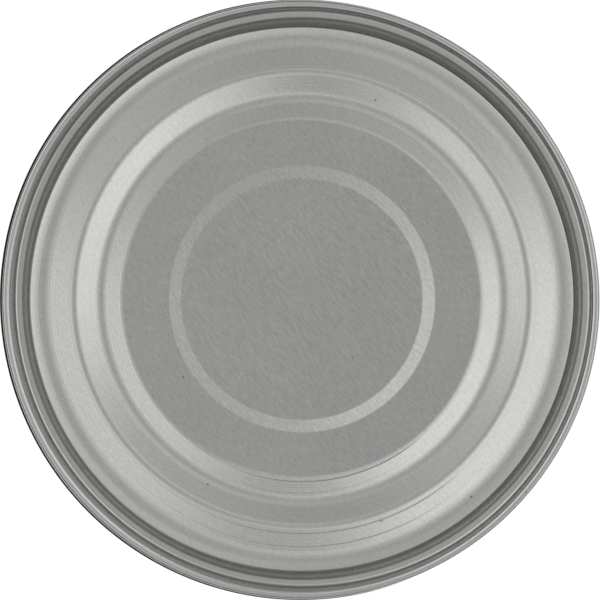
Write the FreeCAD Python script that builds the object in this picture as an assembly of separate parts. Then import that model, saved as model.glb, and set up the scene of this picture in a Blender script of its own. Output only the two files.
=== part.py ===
import FreeCAD, Part
import math
import os

from BOPTools import SplitAPI

# A metal tennis ball can: a rolled and welded tinplate body, a plain bottom end, a ring-pull top end, a soft
# overcap and three balls. Millimetres, +Z up along the can's axis. The origin is the centre of the base, on the
# plane that the lower seam stands on.

V = FreeCAD.Vector
AXIS_UP = V(0, 0, 1)
ORIGIN = V(0, 0, 0)

# Can: driving dimensions
CAN_HEIGHT = 209.6
SEAM_RADIUS = 38.1
END_PLATE = 0.22
BODY_PLATE = 0.17
PLATE_GAP = 0.03
SEAM_HEIGHT = 3.0
CROWN_RADIUS = 0.50
CURL_RADIUS = 0.33
COVER_HOOK_TIP = 0.80
COMPOUND_GAP = 0.05
BODY_HOOK_TIP = 2.40

# The five layers of the double seam, from the outside in: end, body hook, cover hook, body, chuck wall
BODY_HOOK_OUTSIDE = SEAM_RADIUS - END_PLATE - PLATE_GAP
COVER_HOOK_OUTSIDE = BODY_HOOK_OUTSIDE - BODY_PLATE - PLATE_GAP
COVER_HOOK_INSIDE = COVER_HOOK_OUTSIDE - END_PLATE
BODY_OUTSIDE = COVER_HOOK_INSIDE - PLATE_GAP
BODY_INSIDE = BODY_OUTSIDE - BODY_PLATE
CHUCK_WALL_RADIUS = BODY_INSIDE - PLATE_GAP - END_PLATE
BODY_HOOK_LOW = END_PLATE + PLATE_GAP

# Bottom end: each level is a depth below the seam's crown
CENTRE_DEPTH = 3.70
CENTRE_RADIUS = 15.36
STEP_RADIUS = 17.00
STEP_FILLET = 0.9
PANEL_DEPTH = 3.35
PANEL_RADIUS = 22.92
PANEL_FILLET = 2.0
INNER_BEAD_RADIUS = 25.68
INNER_BEAD_DEPTH = 2.44
INNER_BEAD_FILLET = 2.4
TROUGH_RADIUS = 28.98
TROUGH_DEPTH = 3.50
TROUGH_FILLET = 1.6
OUTER_BEAD_RADIUS = 33.05
OUTER_BEAD_DEPTH = 2.16
OUTER_BEAD_FILLET = 4.0
SHOULDER_RADIUS = 34.65
SHOULDER_DEPTH = 2.50
SHOULDER_FILLET = 0.5
COUNTERSINK_INSIDE = 35.80
COUNTERSINK_OUTSIDE = 36.72
COUNTERSINK_DEPTH = 4.15
COUNTERSINK_FILLET = 0.30
CHUCK_FOOT_FILLET = 0.42
CHUCK_BEND_RADIUS = 36.88
CHUCK_BEND_DEPTH = 2.90
CHUCK_BEND_FILLET = 1.5

# Ring-pull end
OPENING_RADIUS = 34.60
TEAR_PANEL_RADIUS = 34.45
TEAR_PANEL_DEPTH = 3.30
LIP_RADIUS = 35.05
TOP_COUNTERSINK_INSIDE = 35.45
GROOVE_RADIUS = 30.30
GROOVE_HALF_WIDTH = 1.10
GROOVE_DEPTH = 0.45
GROOVE_FILLET = 0.5
WELL_RADIUS = 9.0
WELL_RIM = 0.6
WELL_DEPTH = 1.20
WELL_SLOPE = 1.6
WELL_FILLET = 0.8
RIVET_X = 25.0
RIVET_RADIUS = 1.6
RIVET_HEAD_RADIUS = 2.6
RIVET_HEAD_HEIGHT = 0.35
RIVET_HEAD_EDGE = 0.20
RIVET_GRIP = 0.10
TONGUE_RADIUS = 3.8
TONGUE_THICKNESS = 0.40

# Pull tab
TAB_NOSE_X = 32.40
TAB_THICKNESS = 1.50
TAB_LIFT = 0.30
TAB_NOSE_WIDTH = 13.0
TAB_NECK_WIDTH = 15.0
RING_X = 8.0
RING_OUTSIDE = 11.0
RING_INSIDE = 8.0
NECK_START = 0.55
TONGUE_CLEARANCE = 0.6
TAB_EDGE = 0.45

# Overcap
CAP_GAP = 0.30
CAP_PLATE = 0.90
CAP_WALL = 0.80
CAP_SKIRT = 6.5
CAP_CORNER = 0.9
CAP_INNER_CORNER = 0.3
SNAP_BEAD = 0.15
SNAP_BEAD_HALF = 0.6
SNAP_BEAD_DEPTH = 4.2
CAP_HEM = 0.35
CAP_HEM_HEIGHT = 1.0
CAP_HEM_EDGE = 0.2
STACK_RING_OUTSIDE = 36.0
STACK_RING_INSIDE = 35.0
STACK_RING_HEIGHT = 1.6
STACK_RING_TAPER = 0.2
STACK_RING_EDGE = 0.4

# Side seam, welded with a narrow lap, on the +Y side
LAP_WIDTH = 0.8
LAP_THICKNESS = 0.08
LAP_END = 0.3

# Balls
BALL_RADIUS = 33.35
CORE_OUTSIDE = 30.0
CORE_INSIDE = 26.3
BALL_REST_GAP = 0.10
BALL_SEAM_WIDTH = 1.7
BALL_SEAM_RECESS = 0.35
BALL_TURNS = ((20, 35, 10), (110, -25, 60), (-50, 70, 25))
SEAM_CURVE_POINTS = 48
SEAM_CURVE_MAIN = 0.75

# Modelling aids: how far the cutters run past a part, and what counts as level
HOLE_REACH = 5.0
CUT_FROM = 24.0
CUT_TO = 40.0
FLAT = 0.01


def turn(before, corner, after):
    """The signed angle by which a path turns at a corner, positive to the left."""
    first = math.atan2(corner[1] - before[1], corner[0] - before[0])
    second = math.atan2(after[1] - corner[1], after[0] - corner[0])
    return (second - first + math.pi) % (2 * math.pi) - math.pi


def shifted(path, distance):
    """The path moved to its left, its fillets kept concentric. A corner is (radius, z, fillet)."""
    lines = []
    for (r0, z0, _), (r1, z1, _) in zip(path, path[1:]):
        length = math.hypot(r1 - r0, z1 - z0)
        lines.append((r0, z0, (r1 - r0) / length, (z1 - z0) / length))
    moved = []
    for i, (r, z, fillet) in enumerate(path):
        along_in = lines[max(i - 1, 0)][2:]
        along_out = lines[min(i, len(lines) - 1)][2:]
        left_in = (-along_in[1], along_in[0])
        left_out = (-along_out[1], along_out[0])
        middle = (left_in[0] + left_out[0], left_in[1] + left_out[1])
        reach = distance / (1 + left_in[0] * left_out[0] + left_in[1] * left_out[1])
        if 0 < i < len(path) - 1 and fillet:
            side = math.copysign(1, turn(path[i - 1], path[i], path[i + 1]))
            fillet = max(fillet - side * distance, 0)
        moved.append((r + middle[0] * reach, z + middle[1] * reach, fillet))
    return moved


def rounded_edges(path):
    """Lines and tangent arcs along a path of (radius, z, fillet) corners, in the XZ plane."""
    edges = []
    start = V(path[0][0], 0, path[0][1])
    for before, here, after in zip(path, path[1:], path[2:]):
        corner = V(here[0], 0, here[1])
        back = (V(before[0], 0, before[1]) - corner).normalize()
        ahead = (V(after[0], 0, after[1]) - corner).normalize()
        bend = abs(turn(before, here, after))
        if here[2] < 1e-6 or bend < 1e-6:
            edges.append(Part.makeLine(start, corner))
            start = corner
            continue
        setback = here[2] * math.tan(bend / 2)
        enter = corner + back * setback
        leave = corner + ahead * setback
        towards_centre = (back + ahead).normalize()
        middle = corner + towards_centre * (here[2] / math.cos(bend / 2) - here[2])
        if start.distanceToPoint(enter) > 1e-5:
            edges.append(Part.makeLine(start, enter))
        edges.append(Part.Arc(enter, middle, leave).toShape())
        start = leave
    end = V(path[-1][0], 0, path[-1][1])
    if start.distanceToPoint(end) > 1e-5:
        edges.append(Part.makeLine(start, end))
    return edges


def spun(edges):
    """A solid of revolution about Z from the edges of one closed section."""
    face = Part.Face(Part.Wire(Part.sortEdges(edges)[0]))
    solid = face.revolve(ORIGIN, AXIS_UP, 360)
    return solid if solid.Volume > 0 else solid.reversed()


def pressed_sheet(path, thickness):
    """Sheet metal of constant thickness, spun about Z, on the left of its path or on the right if negative."""
    other = shifted(path, thickness)
    near, far = rounded_edges(path), rounded_edges(other)
    near_ends = [V(r, 0, z) for r, z, _ in (path[0], path[-1])]
    far_ends = [V(r, 0, z) for r, z, _ in (other[0], other[-1])]
    caps = [Part.makeLine(a, b) for a, b in zip(near_ends, far_ends)]
    return spun(near + far + caps)


def spun_outline(path):
    """A solid of revolution from a closed outline of (radius, z, fillet) corners."""
    middle = [(path[0][0] + path[1][0]) / 2, (path[0][1] + path[1][1]) / 2, 0]
    return spun(rounded_edges([middle] + path[1:] + [path[0]] + [middle]))


def disc(radius, low, height, x=0.0):
    return Part.makeCylinder(radius, height, V(x, 0, low), AXIS_UP)


def through_hole(radius, x):
    """A cutter that passes right through the top end."""
    return disc(radius, CAN_HEIGHT - 2 * HOLE_REACH, 3 * HOLE_REACH, x)


def flat_edges_above(shape, level):
    """The level edges of a shape that lie above a height."""
    return [e for e in shape.Edges if e.BoundBox.ZMin > level + FLAT and e.BoundBox.ZLength < FLAT]


def at_top(shape):
    """Turns a shape made with depths below a crown at z = 0 over, and puts it at the top of the can."""
    turned = shape.copy()
    turned.rotate(ORIGIN, V(1, 0, 0), 180)
    turned.translate(V(0, 0, CAN_HEIGHT))
    return turned


def seamed_edge():
    """The path from the countersink's floor over the seam and down to the tip of the cover hook."""
    return [
        (COUNTERSINK_OUTSIDE, COUNTERSINK_DEPTH, CHUCK_FOOT_FILLET),
        (CHUCK_BEND_RADIUS, CHUCK_BEND_DEPTH, CHUCK_BEND_FILLET),
        (CHUCK_WALL_RADIUS, 0, CROWN_RADIUS),
        (SEAM_RADIUS, 0, CROWN_RADIUS),
        (SEAM_RADIUS, SEAM_HEIGHT, CURL_RADIUS),
        (COVER_HOOK_INSIDE, SEAM_HEIGHT, CURL_RADIUS),
        (COVER_HOOK_INSIDE, COVER_HOOK_TIP, 0),
    ]


def make_can_body():
    """The rolled body: a tube whose two ends are turned outwards into the body hooks, with a welded lap."""
    top = CAN_HEIGHT - BODY_HOOK_LOW
    hook = (BODY_HOOK_OUTSIDE - BODY_INSIDE) / 2 - FLAT
    path = [
        (BODY_HOOK_OUTSIDE, BODY_HOOK_TIP, 0),
        (BODY_HOOK_OUTSIDE, BODY_HOOK_LOW, hook),
        (BODY_INSIDE, BODY_HOOK_LOW, hook),
        (BODY_INSIDE, top, hook),
        (BODY_HOOK_OUTSIDE, top, hook),
        (BODY_HOOK_OUTSIDE, CAN_HEIGHT - BODY_HOOK_TIP, 0),
    ]
    tube = pressed_sheet(path, -BODY_PLATE)
    lap_low = SEAM_HEIGHT + LAP_END
    lap_high = CAN_HEIGHT - lap_low
    lap = Part.makeBox(LAP_WIDTH, 2 * LAP_WIDTH, lap_high - lap_low)
    lap.translate(V(-LAP_WIDTH / 2, BODY_OUTSIDE - LAP_WIDTH, lap_low))
    lap = lap.common(disc(BODY_OUTSIDE + LAP_THICKNESS, lap_low, lap_high - lap_low))
    return tube.fuse(lap.cut(disc(BODY_OUTSIDE - BODY_PLATE / 2, 0, CAN_HEIGHT))).removeSplitter()


def make_bottom_end():
    path = [
        (0, CENTRE_DEPTH, 0),
        (CENTRE_RADIUS, CENTRE_DEPTH, STEP_FILLET),
        (STEP_RADIUS, PANEL_DEPTH, STEP_FILLET),
        (PANEL_RADIUS, PANEL_DEPTH, PANEL_FILLET),
        (INNER_BEAD_RADIUS, INNER_BEAD_DEPTH, INNER_BEAD_FILLET),
        (TROUGH_RADIUS, TROUGH_DEPTH, TROUGH_FILLET),
        (OUTER_BEAD_RADIUS, OUTER_BEAD_DEPTH, OUTER_BEAD_FILLET),
        (SHOULDER_RADIUS, SHOULDER_DEPTH, SHOULDER_FILLET),
        (COUNTERSINK_INSIDE, COUNTERSINK_DEPTH, COUNTERSINK_FILLET),
    ]
    return pressed_sheet(path + seamed_edge(), END_PLATE)


def make_top_end_ring():
    path = [
        (OPENING_RADIUS, TEAR_PANEL_DEPTH, 0),
        (LIP_RADIUS, TEAR_PANEL_DEPTH, COUNTERSINK_FILLET),
        (TOP_COUNTERSINK_INSIDE, COUNTERSINK_DEPTH, COUNTERSINK_FILLET),
    ]
    return at_top(pressed_sheet(path + seamed_edge(), END_PLATE))


def make_seam_compound():
    """The sealing rubber, gathered in the curl of the end between the body hook's tip and the cover radius."""
    low = BODY_HOOK_TIP + COMPOUND_GAP
    high = SEAM_HEIGHT - CURL_RADIUS - PLATE_GAP
    outside = disc(BODY_HOOK_OUTSIDE - PLATE_GAP / 2, low, high - low)
    return outside.cut(disc(COVER_HOOK_OUTSIDE + COMPOUND_GAP, low - HOLE_REACH, high + HOLE_REACH))


def make_tear_panel():
    """The scored panel with its stiffening groove, its finger well and the rivet drawn from its own metal."""
    groove_low = TEAR_PANEL_DEPTH + GROOVE_DEPTH
    path = [
        (0, TEAR_PANEL_DEPTH, 0),
        (GROOVE_RADIUS - GROOVE_HALF_WIDTH, TEAR_PANEL_DEPTH, GROOVE_FILLET),
        (GROOVE_RADIUS, groove_low, GROOVE_FILLET),
        (GROOVE_RADIUS + GROOVE_HALF_WIDTH, TEAR_PANEL_DEPTH, GROOVE_FILLET),
        (TEAR_PANEL_RADIUS, TEAR_PANEL_DEPTH, 0),
    ]
    panel = at_top(pressed_sheet(path, END_PLATE))
    panel = panel.cut(through_hole(WELL_RADIUS, RING_X))
    well_depth = TEAR_PANEL_DEPTH + WELL_DEPTH
    well_path = [
        (0, well_depth, 0),
        (WELL_RADIUS - WELL_RIM - WELL_SLOPE, well_depth, WELL_FILLET),
        (WELL_RADIUS - WELL_RIM, TEAR_PANEL_DEPTH, WELL_FILLET),
        (WELL_RADIUS, TEAR_PANEL_DEPTH, 0),
    ]
    well = at_top(pressed_sheet(well_path, END_PLATE))
    well.translate(V(RING_X, 0, 0))
    surface = CAN_HEIGHT - TEAR_PANEL_DEPTH
    shank = disc(RIVET_RADIUS, surface - END_PLATE, END_PLATE + TONGUE_THICKNESS + RIVET_GRIP, RIVET_X)
    head_low = surface + TONGUE_THICKNESS
    head = disc(RIVET_HEAD_RADIUS, head_low, RIVET_HEAD_HEIGHT, RIVET_X)
    head = head.makeFillet(RIVET_HEAD_EDGE, flat_edges_above(head, head_low))
    return panel.fuse([well, shank, head]).removeSplitter()


def make_tab_tongue():
    surface = CAN_HEIGHT - TEAR_PANEL_DEPTH
    tongue = disc(TONGUE_RADIUS, surface, TONGUE_THICKNESS, RIVET_X)
    return tongue.cut(through_hole(RIVET_RADIUS, RIVET_X))


def make_pull_tab():
    """The ring, its neck and its curled nose. The nose is a roll whose axis is the tab's hinge."""
    low = CAN_HEIGHT - TEAR_PANEL_DEPTH + TAB_LIFT
    half = TAB_THICKNESS / 2
    ring = disc(RING_OUTSIDE, low, TAB_THICKNESS, RING_X)
    neck_start = RING_X + NECK_START * RING_OUTSIDE
    neck_half, nose_half = TAB_NECK_WIDTH / 2, TAB_NOSE_WIDTH / 2
    corners = [V(neck_start, -neck_half, low), V(TAB_NOSE_X, -nose_half, low), V(TAB_NOSE_X, nose_half, low),
               V(neck_start, neck_half, low)]
    neck = Part.Face(Part.makePolygon(corners + corners[:1])).extrude(V(0, 0, TAB_THICKNESS))
    nose = Part.makeCylinder(half, TAB_NOSE_WIDTH, V(TAB_NOSE_X, -nose_half, low + half), V(0, 1, 0))
    tab = ring.fuse([neck, nose]).removeSplitter()
    tab = tab.cut(through_hole(RING_INSIDE, RING_X))
    tab = tab.cut(through_hole(TONGUE_RADIUS + TONGUE_CLEARANCE, RIVET_X))
    curled = [e for e in tab.Edges if e.BoundBox.ZLength < FLAT and e.BoundBox.XMax < TAB_NOSE_X - half]
    return tab.makeFillet(TAB_EDGE, curled)


def make_overcap():
    top = CAN_HEIGHT + CAP_GAP + CAP_PLATE
    inside = SEAM_RADIUS + CAP_GAP
    outside = inside + CAP_WALL
    hem = CAN_HEIGHT - CAP_SKIRT
    bead = CAN_HEIGHT - SNAP_BEAD_DEPTH
    outline = [
        (0, top, 0),
        (0, top - CAP_PLATE, 0),
        (inside, top - CAP_PLATE, CAP_INNER_CORNER),
        (inside, bead + SNAP_BEAD_HALF, 0),
        (inside - SNAP_BEAD, bead, 0),
        (inside, bead - SNAP_BEAD_HALF, 0),
        (inside, hem, 0),
        (outside + CAP_HEM, hem, CAP_HEM_EDGE),
        (outside + CAP_HEM, hem + CAP_HEM_HEIGHT, CAP_INNER_CORNER),
        (outside, hem + CAP_HEM_HEIGHT + CAP_HEM, CAP_INNER_CORNER),
        (outside, top, CAP_CORNER),
        (STACK_RING_OUTSIDE + STACK_RING_TAPER, top, CAP_INNER_CORNER),
        (STACK_RING_OUTSIDE, top + STACK_RING_HEIGHT, STACK_RING_EDGE),
        (STACK_RING_INSIDE, top + STACK_RING_HEIGHT, STACK_RING_EDGE),
        (STACK_RING_INSIDE - STACK_RING_TAPER, top, CAP_INNER_CORNER),
    ]
    return spun_outline(outline)


def seam_curve(radius, sideways):
    """The closed curve of a tennis ball's seam on a sphere, moved sideways over the surface by a distance."""
    main, wave = SEAM_CURVE_MAIN, 1 - SEAM_CURVE_MAIN
    rise = 2 * math.sqrt(main * wave)
    angle = sideways / BALL_RADIUS
    points = []
    for i in range(SEAM_CURVE_POINTS):
        t = 2 * math.pi * i / SEAM_CURVE_POINTS
        place = V(main * math.cos(t) + wave * math.cos(3 * t), main * math.sin(t) - wave * math.sin(3 * t),
                  rise * math.sin(2 * t))
        along = V(-main * math.sin(t) - 3 * wave * math.sin(3 * t),
                  main * math.cos(t) - 3 * wave * math.cos(3 * t), 2 * rise * math.cos(2 * t)).normalize()
        across = place.cross(along)
        points.append((place * math.cos(angle) + across * math.sin(angle)) * radius)
    curve = Part.BSplineCurve()
    curve.interpolate(Points=points, PeriodicFlag=True)
    return curve.toShape()


def hollow_ball(outside, inside):
    """A spherical shell put together from four wedges, so that each of its faces is a simple patch."""
    wedges = []
    for quarter in range(4):
        wedge = Part.makeSphere(outside, ORIGIN, AXIS_UP, -90, 90, 90)
        wedge = wedge.cut(Part.makeSphere(inside, ORIGIN, AXIS_UP, -90, 90, 90))
        wedge.rotate(ORIGIN, AXIS_UP, 90 * quarter)
        wedges.append(wedge)
    return wedges[0].fuse(wedges[1:])


def make_ball_pieces():
    """The pieces of one ball round the origin: two core halves, two felt panels and the seam rubber."""
    core = hollow_ball(CORE_OUTSIDE, CORE_INSIDE)
    reach = 2 * BALL_RADIUS
    upper_space = Part.makeBox(2 * reach, 2 * reach, reach, V(-reach, -reach, 0))
    cuts = []
    for side in (-1, 1):
        sideways = side * BALL_SEAM_WIDTH / 2
        cuts.append(Part.makeRuledSurface(seam_curve(CUT_FROM, sideways), seam_curve(CUT_TO, sideways)))
    felts = SplitAPI.slice(hollow_ball(BALL_RADIUS, CORE_OUTSIDE), cuts, "Split").Solids
    seam_shell = hollow_ball(BALL_RADIUS - BALL_SEAM_RECESS, CORE_OUTSIDE)
    seam = min(SplitAPI.slice(seam_shell, cuts, "Split").Solids, key=lambda s: s.Volume)
    felts.remove(min(felts, key=lambda s: s.Volume))
    felts.sort(key=lambda s: s.CenterOfMass.z)
    return {
        "core_half_a": core.cut(upper_space),
        "core_half_b": core.common(upper_space),
        "felt_a": felts[0],
        "felt_b": felts[1],
        "seam": seam,
    }


def make_balls():
    """Three balls, one on another, each turned its own way as they fall into a can."""
    pieces = make_ball_pieces()
    rest = CENTRE_DEPTH + END_PLATE + BALL_REST_GAP + BALL_RADIUS
    pitch = 2 * BALL_RADIUS + BALL_REST_GAP
    nodes = {}
    for number, angles in enumerate(BALL_TURNS):
        place = FreeCAD.Placement(V(0, 0, rest + number * pitch), FreeCAD.Rotation(*angles))
        for name, piece in pieces.items():
            nodes[f"ball_{number + 1}_{name}"] = placed(piece, place)
    return nodes


def placed(shape, place):
    moved = shape.copy()
    moved.Placement = place.multiply(moved.Placement)
    return moved


def make_nodes():
    compound = make_seam_compound()
    nodes = {
        "can_body": make_can_body(),
        "bottom_end": make_bottom_end(),
        "bottom_seam_compound": compound,
        "top_end_ring": make_top_end_ring(),
        "top_seam_compound": at_top(compound),
        "tear_panel": make_tear_panel(),
        "tab_tongue": make_tab_tongue(),
        "pull_tab": make_pull_tab(),
        "overcap": make_overcap(),
    }
    nodes.update(make_balls())
    return nodes


def main():
    os.makedirs("parts", exist_ok=True)
    for name, shape in make_nodes().items():
        solids = len(shape.Solids)
        print(f"{name}: {solids} solid, valid {shape.isValid()}, {shape.Volume:.1f} mm3, "
              f"z {shape.BoundBox.ZMin:.2f} to {shape.BoundBox.ZMax:.2f}, x {shape.BoundBox.XMax:.2f}")
        shape.exportStep(f"parts/{name}.step")


if __name__ == "__main__":
    main()
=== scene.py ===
"""A metal tennis ball can: beaded tinplate base, printed body, ring-pull end, overcap and three balls."""

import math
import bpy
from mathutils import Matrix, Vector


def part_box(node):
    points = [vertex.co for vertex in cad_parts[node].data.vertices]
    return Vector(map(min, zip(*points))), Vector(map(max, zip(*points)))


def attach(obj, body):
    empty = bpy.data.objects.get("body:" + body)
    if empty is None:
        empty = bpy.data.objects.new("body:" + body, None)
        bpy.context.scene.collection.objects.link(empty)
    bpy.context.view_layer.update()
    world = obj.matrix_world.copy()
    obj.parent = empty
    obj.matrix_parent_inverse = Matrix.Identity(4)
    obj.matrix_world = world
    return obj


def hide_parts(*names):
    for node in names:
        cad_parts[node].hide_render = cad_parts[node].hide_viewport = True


bl_info = {
    "name": "Tennis Ball Can",
    "version": (1, 0, 0),
    "blender": (4, 5, 0),
    "location": "3D View > Sidebar > Ball Can",
    "description": "Builds a double-seamed tennis ball can with its ring-pull end, overcap and balls",
    "category": "Mesh",
}

import bmesh
import bpy
import numpy as np
from bpy.props import FloatProperty, FloatVectorProperty, IntProperty, PointerProperty
from mathutils import Matrix, Vector
from mathutils.kdtree import KDTree

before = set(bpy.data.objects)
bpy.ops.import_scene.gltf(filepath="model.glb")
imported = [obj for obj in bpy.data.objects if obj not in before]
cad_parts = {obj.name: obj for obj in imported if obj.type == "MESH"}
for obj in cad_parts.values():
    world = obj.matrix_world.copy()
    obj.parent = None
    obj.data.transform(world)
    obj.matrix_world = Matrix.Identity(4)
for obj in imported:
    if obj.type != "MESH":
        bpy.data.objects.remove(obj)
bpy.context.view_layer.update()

MM = 0.001
CAN_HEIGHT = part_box("top_end_ring")[1].z / MM
SEAM_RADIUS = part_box("bottom_end")[1].x / MM
TAB_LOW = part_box("pull_tab")[0].z / MM
PANEL_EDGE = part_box("tear_panel")[1].x / MM
CAP_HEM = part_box("overcap")[0].z / MM

# Base and seams, in millimetres. Depths are inwards from the seam's crown.
DISC_DEPTH, FLAT_DEPTH = 3.70, 3.35
INNER_BEAD_DEPTH, TROUGH_DEPTH, OUTER_BEAD_DEPTH = 2.44, 3.50, 2.16
SEAM_HEIGHT, CROWN_ROUND, COVER_HOOK_END, BODY_HOOK_END = 3.0, 0.50, 0.80, 2.40
WELD_END = 3.3

# Top end, in millimetres. Depths are below the seam's crown.
PANEL_DEPTH = 3.30
GROOVE_RADIUS, GROOVE_DEPTH = 30.3, 0.45
WELL_DEPTH, WELL_FLOOR, WELL_RIM = 1.2, 6.7, 8.5
RING_X, RING_OUTSIDE, RING_INSIDE = 8.0, 11.0, 8.0
RIVET_X, TONGUE_HOLE, TONGUE_THICKNESS = 25.0, 4.4, 0.40
NECK_HALF, NOSE_HALF, NOSE_X = 7.5, 6.5, 33.15
TAB_ROLL, HOLE_ROLL, TONGUE_ROLL = 0.75, 0.62, 0.28
WEB_LIFT, WEB_THICKNESS = 0.12, 0.36

# Overcap, in millimetres: its top above the can, its wall, and the snap bead below the can's top.
CAP_RISE, CAP_CLEARANCE, CAP_WALL, CAP_THICKNESS = 1.20, 0.30, 0.80, 0.9
CAP_BEAD_DROP, CAP_BEAD_HALF, CAP_BEAD_REACH = 4.2, 0.6, 0.15

# Print, in metres: bands from the can's foot and from its head, and the ball device with its two curves.
FOOT_BAND, HEAD_BAND = (0.006, 0.026), (0.006, 0.030)
FOOT_LINE, HEAD_LINE, LINE_WIDTH = 0.0285, 0.0335, 0.0032
DEVICE_RADIUS, DEVICE_TURNS = 0.0235, (0.0, 0.36, -0.36)
CURVE_X, CURVE_Z, CURVE_INSIDE, CURVE_OUTSIDE = 0.0270, 0.0130, 0.0189, 0.0205

# Felt, in metres: what lies outside FELT_FACE is the panel's outer face, and its fibres stand on FELT_BASE.
FELT_FACE, FELT_BASE, FELT_EDGE = 0.0332, 0.03305, 0.0329
FELT_ROLL_WIDTH, FELT_ROLL_DROP = 0.0016, 0.010

# Tinplate: name, roughness, where the drawn part begins in metres, and how worn its die is.
BASE_METAL = ("rolled tinplate", 0.22, 0.0226, 1.0)
TOP_METAL = ("drawn tinplate", 0.22, 0.0290, 0.0)
# Die lines, in metres from the axis, each with its share of the full depth.
DIE_LINES_FROM, DIE_LINES_TO, DIE_LINE_HALF = 0.0220, 0.0330, 0.0001
DIE_LINES = ((0.02265, 0.3), (0.02320, 1.0), (0.02456, 0.35), (0.02980, 1.0), (0.03145, 0.5))
BASE_KNOCK = (-0.0102, -0.0281, 0.0034)


# ---------------------------------------------------------------- sizes and colours


def linear(hex_colour):
    """An sRGB hex colour as linear RGBA."""
    channels = [int(hex_colour[i:i + 2], 16) / 255 for i in (1, 3, 5)]
    return (*[c / 12.92 if c <= 0.04045 else ((c + 0.055) / 1.055) ** 2.4 for c in channels], 1.0)


def size_property(name, value, description):
    """A length with its default in millimetres."""
    return FloatProperty(name=name, default=value * MM, description=description, unit="LENGTH", precision=5)


def colour_property(name, hex_colour, description):
    """A colour with its default as sRGB hex."""
    return FloatVectorProperty(name=name, default=linear(hex_colour), size=4, min=0, max=1, subtype="COLOR",
                               description=description)


class BallCanSizes(bpy.types.PropertyGroup):
    """Plate thicknesses and the levels of the stamped ends."""

    end_plate: size_property("End plate", 0.22, "Thickness of the tinplate of both ends")
    body_plate: size_property("Body plate", 0.17, "Thickness of the rolled body")
    layer_gap: size_property("Layer gap", 0.03, "Gap between the layers of the double seams")
    centre_radius: size_property("Centre disc", 15.36, "Radius of the flat centre disc of the base")
    step_radius: size_property("Step", 17.00, "Outer radius of the narrow step round the centre disc")
    panel_radius: size_property("Flat panel", 22.92, "Radius where the first bead begins")
    inner_bead: size_property("Inner bead", 25.68, "Radius of the inner bead's crest")
    trough: size_property("Trough", 28.98, "Radius of the trough between the beads")
    outer_bead: size_property("Outer bead", 33.05, "Radius of the outer bead's crest")
    countersink: size_property("Countersink depth", 4.15, "Depth of the countersink below the seam")
    waviness: size_property("Waviness", 0.012, "How far the pressed plate strays from its true shape")
    print_margin: size_property("Print margin", 4.2, "Bare plate left beside the weld and the seams")
    nap: size_property("Nap", 0.45, "Length of the fibres that stand up from the felt")
    turns: IntProperty(name="Segments", default=300, min=48, description="Faces round every spun piece")


class BallCanColours(bpy.types.PropertyGroup):
    """Colours of the finishes."""

    plate: colour_property("Tinplate", "#CCCCCA", "Bare electrolytic tinplate")
    field: colour_property("Print field", "#0F4A38", "Main colour of the printed body")
    band: colour_property("Print band", "#E9E7DC", "Pale bands of the print")
    ball: colour_property("Printed ball", "#C9D63A", "Ball device and narrow bands of the print")
    cap: colour_property("Overcap", "#E4E3DD", "Natural low-density polyethylene")
    felt: colour_property("Felt", "#BFCF2E", "Optic yellow felt")
    rubber: colour_property("Core rubber", "#3B3936", "Filled natural rubber")
    seam: colour_property("Ball seam", "#DAD8CC", "Vulcanised rubber between the felt panels")
    compound: colour_property("Seam compound", "#8A6A4A", "Sealing rubber inside the double seams")


class BallCanStudio(bpy.types.PropertyGroup):
    """Floor, lights and camera."""

    floor: colour_property("Floor", "#ECEBE8", "Pale paper floor")
    lens: FloatProperty(name="Lens", default=600 * MM, unit="LENGTH",
                        description="Focal length of the camera")
    tilt: FloatProperty(name="Tilt", default=math.radians(4.2), subtype="ANGLE",
                        description="How far the camera stands off the can's axis")
    tilt_side: FloatProperty(name="Tilt side", default=math.radians(28), subtype="ANGLE",
                             description="Which way the camera stands off, from the -X side")


# ---------------------------------------------------------------- outlines of pressed and moulded pieces


def turn(before, corner, after):
    """The signed angle by which a path turns at a corner, positive to the left."""
    first = math.atan2(corner[1] - before[1], corner[0] - before[0])
    second = math.atan2(after[1] - corner[1], after[0] - corner[0])
    return (second - first + math.pi) % math.tau - math.pi


def shifted(path, distance):
    """The path moved to its left, its fillets kept concentric. A corner is (radius, z, fillet)."""
    lines = []
    for (r0, z0, _), (r1, z1, _) in zip(path, path[1:]):
        length = math.hypot(r1 - r0, z1 - z0)
        lines.append(((r1 - r0) / length, (z1 - z0) / length))
    moved = []
    for i, (r, z, fillet) in enumerate(path):
        along_in, along_out = lines[max(i - 1, 0)], lines[min(i, len(lines) - 1)]
        middle = (-along_in[1] - along_out[1], along_in[0] + along_out[0])
        reach = distance / (1 + along_in[0] * along_out[0] + along_in[1] * along_out[1])
        if 0 < i < len(path) - 1 and fillet:
            side = math.copysign(1, turn(path[i - 1], path[i], path[i + 1]))
            fillet = max(fillet - side * distance, 0)
        moved.append((r + middle[0] * reach, z + middle[1] * reach, fillet))
    return moved


def rounded(path, arc_step=math.radians(5), support=0.08):
    """Points along a path with its corners rounded, and a point just inside each end of every straight."""
    points = [Vector(path[0][:2])]

    def straight_to(end):
        start = points[-1]
        length = (end - start).length
        if length > 4 * support:
            points.append(start.lerp(end, support / length))
            points.append(end.lerp(start, support / length))
        if length > 1e-6:
            points.append(end)

    for before, here, after in zip(path, path[1:], path[2:]):
        corner = Vector(here[:2])
        back = (Vector(before[:2]) - corner).normalized()
        ahead = (Vector(after[:2]) - corner).normalized()
        bend = turn(before, here, after)
        if here[2] < 1e-6 or abs(bend) < 1e-6:
            straight_to(corner)
            continue
        enter = corner + back * here[2] * math.tan(abs(bend) / 2)
        centre = corner + (back + ahead).normalized() * here[2] / math.cos(bend / 2)
        straight_to(enter)
        steps = max(3, math.ceil(abs(bend) / arc_step))
        for step in range(1, steps + 1):
            points.append(centre + Matrix.Rotation(bend * step / steps, 2) @ (enter - centre))
    straight_to(Vector(path[-1][:2]))
    return points


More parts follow.
